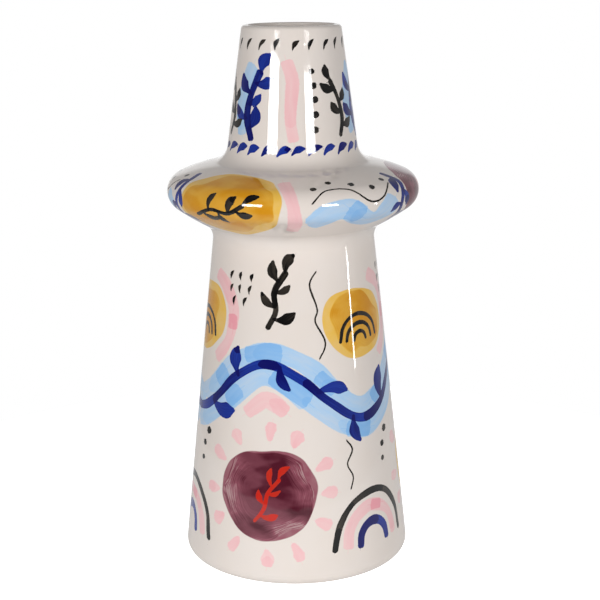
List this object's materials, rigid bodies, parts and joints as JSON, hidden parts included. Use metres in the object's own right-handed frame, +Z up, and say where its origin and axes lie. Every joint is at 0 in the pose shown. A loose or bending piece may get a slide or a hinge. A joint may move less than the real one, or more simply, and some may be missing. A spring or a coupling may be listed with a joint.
{
  "type": "painted vase",
  "caption": "Tall round ceramic vase with a tapering body, a flared hollow collar and a tapering neck, glossy with brush painted decoration.",
  "frame": {"origin": "centre of the foot, on the surface that the vase stands on", "axes": "+Z up along the vase's axis of revolution, -Y towards the side that the picture shows"},
  "size_m": [0.1862, 0.1862, 0.4],
  "materials": {
    "painted_glaze": "high gloss clear glaze over a warm white ground, with brush painted colours under it",
    "lining_glaze": "gloss glaze, thinner and greyer than outside",
    "bare_clay": "matt unglazed earthenware"
  },
  "bodies": {
    "root": {"foot_ring": "painted_glaze", "base_floor": "bare_clay", "base_coil": "lining_glaze", "lower_body": "painted_glaze", "throat_coil": "lining_glaze", "collar_underside": "painted_glaze", "collar_coil": "lining_glaze", "collar_top": "painted_glaze", "neck_coil": "lining_glaze", "neck": "painted_glaze", "mouth_rim": "painted_glaze"}
  },
  "joints": []
}
